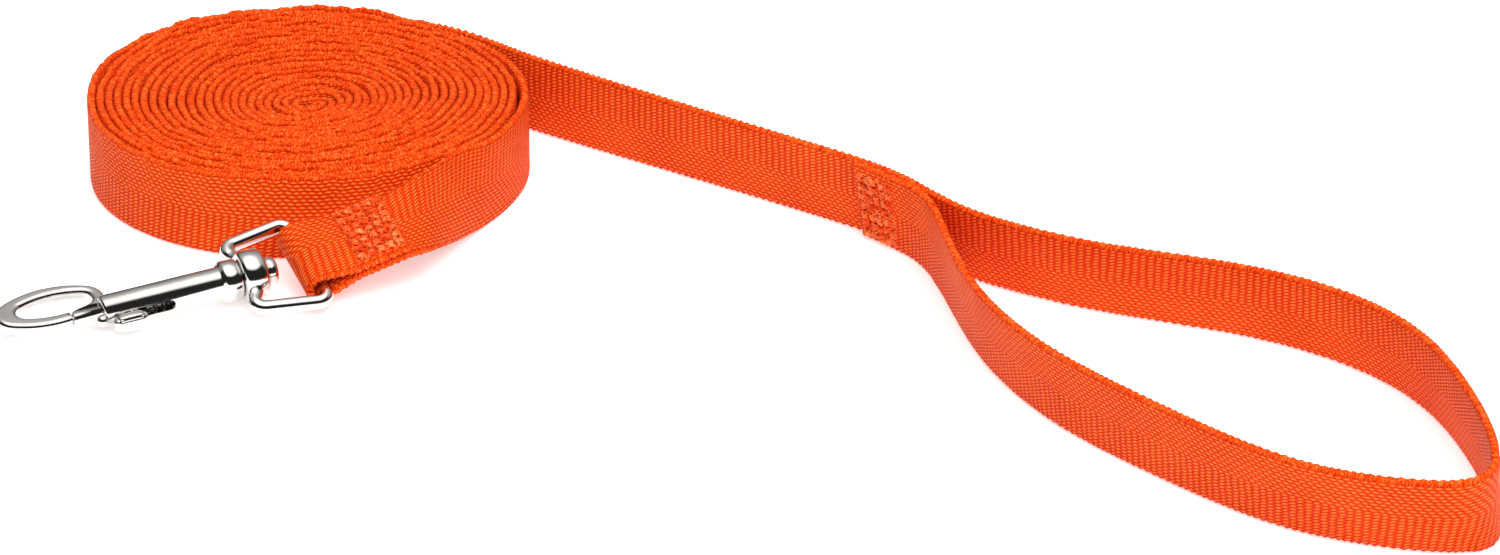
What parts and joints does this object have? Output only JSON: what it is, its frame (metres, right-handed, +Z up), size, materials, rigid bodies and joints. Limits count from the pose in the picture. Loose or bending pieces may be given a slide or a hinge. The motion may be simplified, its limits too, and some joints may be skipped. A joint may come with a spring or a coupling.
{
  "type": "training leash",
  "caption": "Long orange webbing training leash wound into a flat roll, with a sewn hand loop and a chrome swivel bolt snap.",
  "frame": {"origin": "centre of the wound roll's underside, on the floor", "axes": "+Z up, +X from the roll towards the hand loop, -Y towards the bolt snap"},
  "size_m": [0.3154, 0.2492, 0.0203],
  "materials": {
    "webbing": "woven",
    "thread": "stitched",
    "nickel": "polished",
    "spring_steel": "drawn wire"
  },
  "bodies": {
    "leash": {"strap_roll": "webbing", "handle_strand": "webbing", "hand_loop": "webbing", "handle_lap": "webbing", "handle_stitching": "thread", "hook_strand": "webbing", "hook_fold": "webbing", "hook_stitching": "thread"},
    "eye": {"swivel_eye": "nickel"},
    "snap": {"hook_body": "nickel", "swivel_rivet": "nickel", "bolt_spring": "spring_steel"},
    "gate": {"bolt": "nickel", "thumb_stud": "nickel"}
  },
  "joints": [
    {"name": "eye_swing", "type": "hinge", "parent": "leash", "child": "eye", "pos_m": [0.0044, -0.0663, 0.0074], "axis": [0.4076, -0.8653, -0.2917], "range_deg": [-110, 30]},
    {"name": "swivel", "type": "hinge", "parent": "eye", "child": "snap", "pos_m": [-0.00745, -0.07157, 0.00649], "axis": [0.9113, 0.4057, 0.0698], "continuous": true},
    {"name": "bolt_slide", "type": "slide", "parent": "snap", "child": "gate", "axis": [0.9113, 0.4057, 0.0698], "range_m": [0, 0.008], "stiffness_N_per_m": 300, "springref_m": -0.006, "deforming": ["bolt_spring"]}
  ]
}
